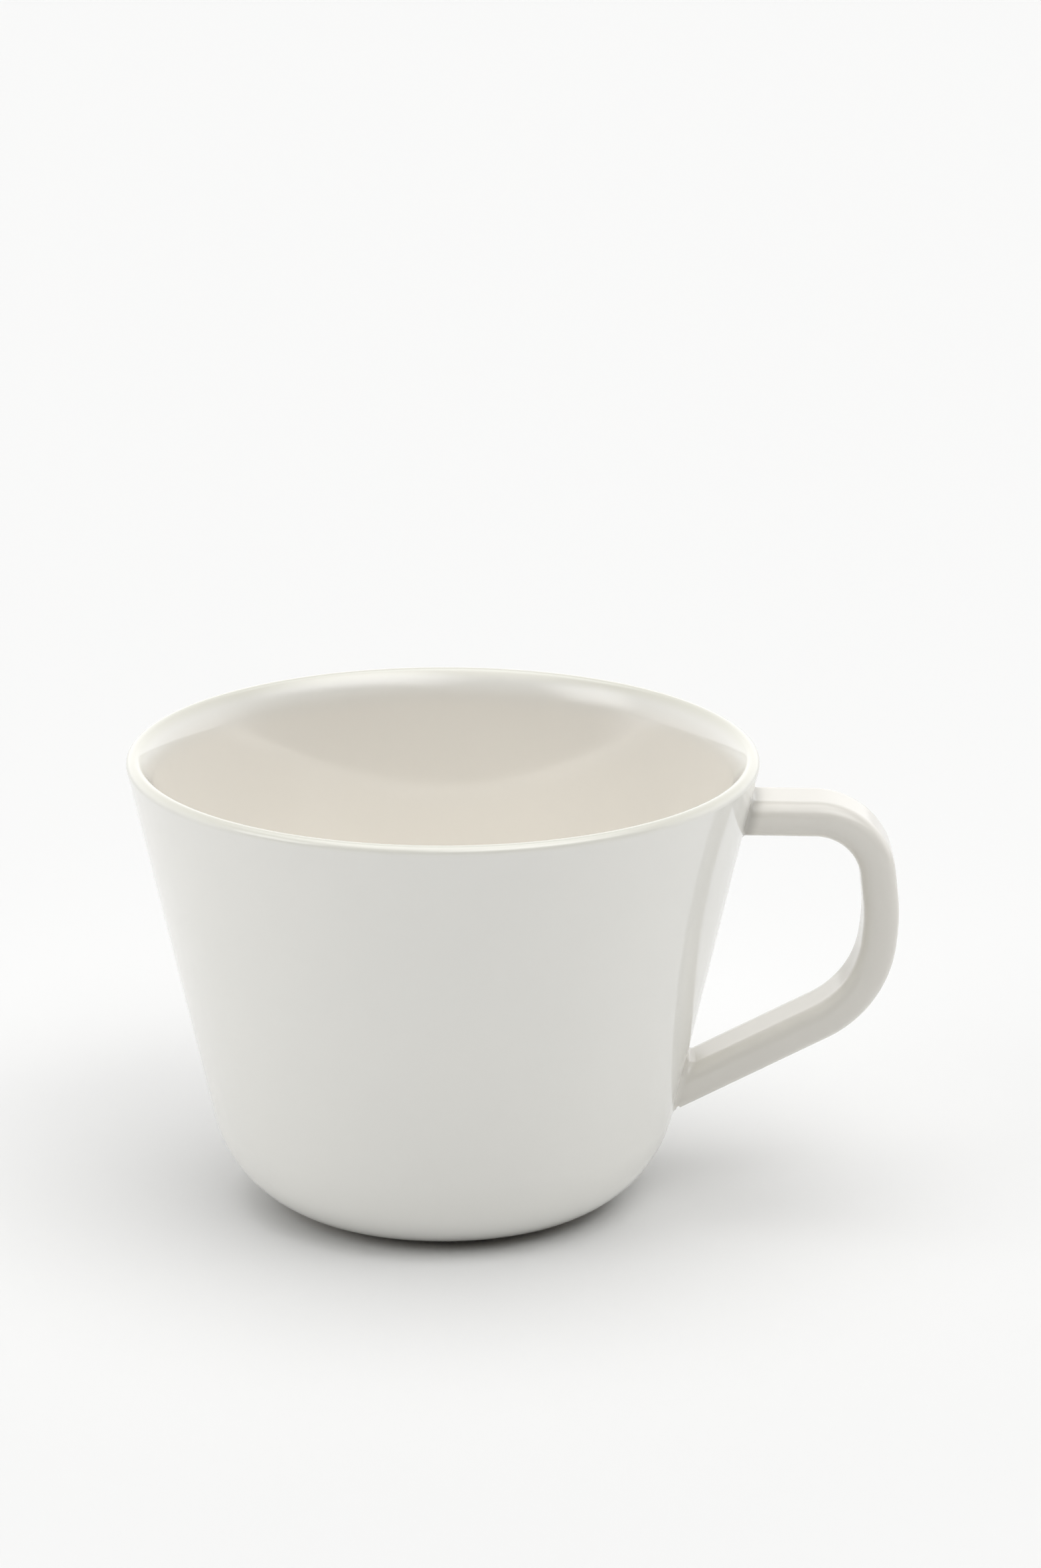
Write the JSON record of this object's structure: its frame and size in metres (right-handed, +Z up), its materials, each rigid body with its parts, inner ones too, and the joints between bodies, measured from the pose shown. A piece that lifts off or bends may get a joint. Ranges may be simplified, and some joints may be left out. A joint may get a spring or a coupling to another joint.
{
  "type": "cappuccino cup",
  "caption": "White glazed cappuccino cup with straight leaning walls, a rounded belly on a low bare foot, and an angular strap handle.",
  "frame": {"origin": "centre of the foot's resting face, on the bowl's axis", "axes": "+Z up along the bowl's axis, +X towards the handle, +Y to the handle's left seen from above with the handle pointing away"},
  "size_m": [0.1125, 0.092, 0.0675],
  "materials": {
    "fired_clay": "fired porcelain, smooth and matt, covered by glaze",
    "bare_foot": "bare fired porcelain, wiped and lightly sanded, fine grain",
    "glazed_slip": "slip under clear glaze, glossy",
    "inner_glaze": "clear glaze over warm white, glossy, slightly beige inside the cup",
    "outer_glaze": "clear glaze over white, glossy",
    "handle_glaze": "clear glaze over white, glossy",
    "underside_glaze": "clear glaze over white, glossy"
  },
  "bodies": {
    "root": {"bowl": "fired_clay", "foot_ring": "bare_foot", "handle": "fired_clay", "upper_slip_joint": "glazed_slip", "lower_slip_joint": "glazed_slip", "inner_glaze": "inner_glaze", "outer_glaze": "outer_glaze", "handle_glaze": "handle_glaze", "underside_glaze": "underside_glaze"}
  },
  "joints": []
}
